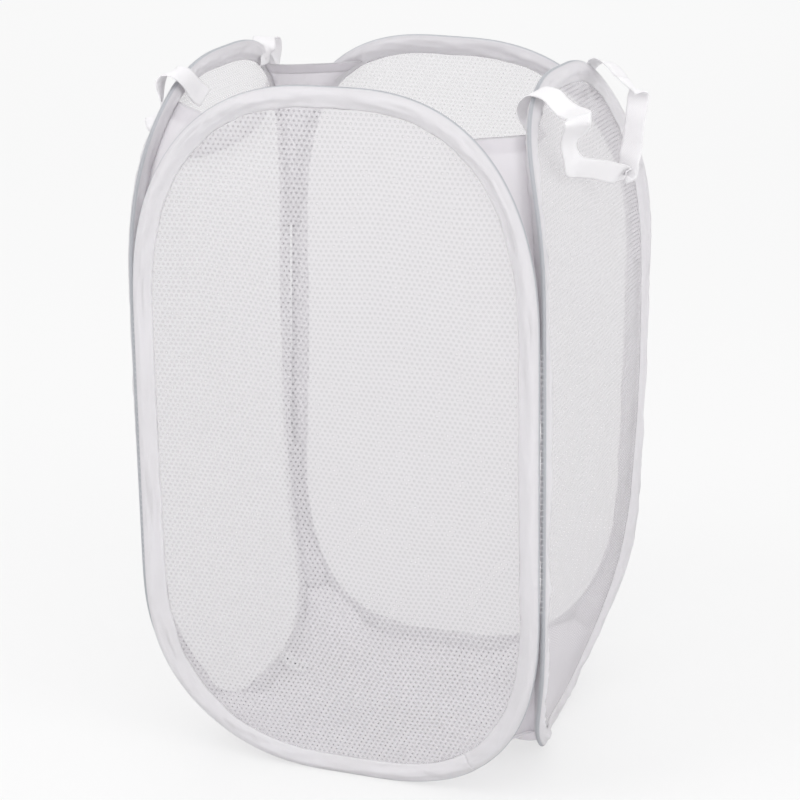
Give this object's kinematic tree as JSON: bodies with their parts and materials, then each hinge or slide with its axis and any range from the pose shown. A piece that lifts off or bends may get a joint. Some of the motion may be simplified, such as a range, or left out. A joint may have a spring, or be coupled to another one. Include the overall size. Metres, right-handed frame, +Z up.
{
  "type": "laundry hamper",
  "caption": "Collapsible pop up laundry hamper with sprung mesh panels joined at their corner seams, cloth base, cloth corner pieces and strap handles.",
  "frame": {"origin": "on the floor, in the middle of the footprint of the opened hamper", "axes": "+X towards the right hoop, +Y from the front hoop to the back hoop, +Z up"},
  "size_m": [0.37, 0.364, 0.61],
  "materials": {
    "spring_steel": "bare flat spring steel",
    "binding_tape": "white woven polyester tape",
    "mesh_cloth": "white honeycomb knit mesh",
    "woven_cloth": "plain white woven polyester",
    "strap": "white ribbon webbing",
    "label": "smooth white label satin, bare"
  },
  "bodies": {
    "front_panel": {"front_hoop": "spring_steel", "front_crimp": "spring_steel", "front_binding": "binding_tape", "front_mesh": "mesh_cloth", "front_left_seam": "binding_tape", "front_right_seam": "binding_tape", "front_left_top_gusset": "woven_cloth", "front_right_top_gusset": "woven_cloth", "front_left_bottom_gusset": "woven_cloth", "front_right_bottom_gusset": "woven_cloth"},
    "right_panel": {"right_hoop": "spring_steel", "right_crimp": "spring_steel", "right_binding": "binding_tape", "right_mesh": "mesh_cloth", "right_handle_end_front": "strap", "right_handle_end_back": "strap", "back_right_seam": "binding_tape", "back_right_top_gusset": "woven_cloth", "back_right_bottom_gusset": "woven_cloth"},
    "left_panel": {"left_hoop": "spring_steel", "left_crimp": "spring_steel", "left_binding": "binding_tape", "left_mesh": "mesh_cloth", "left_handle_end_back": "strap", "left_handle_end_front": "strap", "care_label": "label", "back_left_seam": "binding_tape", "back_left_top_gusset": "woven_cloth", "back_left_bottom_gusset": "woven_cloth"},
    "back_panel": {"back_hoop": "spring_steel", "back_crimp": "spring_steel", "back_binding": "binding_tape", "back_mesh": "mesh_cloth"},
    "base": {"base_panel": "woven_cloth"},
    "right_handle": {"right_handle_loop": "strap"},
    "left_handle": {"left_handle_loop": "strap"}
  },
  "joints": [
    {"name": "right_fold", "type": "hinge", "parent": "front_panel", "child": "right_panel", "pos_m": [0.1775, -0.1775, 0.2975], "axis": [0, 0, -1], "range_deg": [0, 80], "stiffness_Nm_per_rad": 0.4, "deforming": ["front_right_top_gusset", "front_right_bottom_gusset", "back_right_top_gusset", "back_right_bottom_gusset"]},
    {"name": "left_fold", "type": "hinge", "parent": "front_panel", "child": "left_panel", "pos_m": [-0.1775, -0.1775, 0.2975], "axis": [0, 0, -1], "range_deg": [0, 80], "deforming": ["front_left_top_gusset", "front_left_bottom_gusset"]},
    {"name": "back_fold", "type": "hinge", "parent": "left_panel", "child": "back_panel", "pos_m": [-0.1775, 0.1775, 0.2975], "axis": [0, 0, 1], "range_deg": [0, 80], "deforming": ["back_left_top_gusset", "back_left_bottom_gusset"]},
    {"name": "base_tuck", "type": "hinge", "parent": "front_panel", "child": "base", "pos_m": [0, -0.1772, 0.0056], "axis": [1, 0, 0], "range_deg": [0, 88.2], "deforming": ["base_panel"]},
    {"name": "right_handle_swing", "type": "hinge", "parent": "right_panel", "child": "right_handle", "pos_m": [0.1844, 0, 0.59766], "axis": [0, -1, 0], "range_deg": [0, 180]},
    {"name": "left_handle_swing", "type": "hinge", "parent": "left_panel", "child": "left_handle", "pos_m": [-0.1844, 0, 0.59766], "axis": [0, 1, 0], "range_deg": [0, 180]}
  ],
  "couplings": [
    {"joint": "left_fold", "follows": "right_fold", "ratio": 1},
    {"joint": "back_fold", "follows": "right_fold", "ratio": 1},
    {"joint": "base_tuck", "follows": "right_fold", "ratio": 1.1}
  ]
}
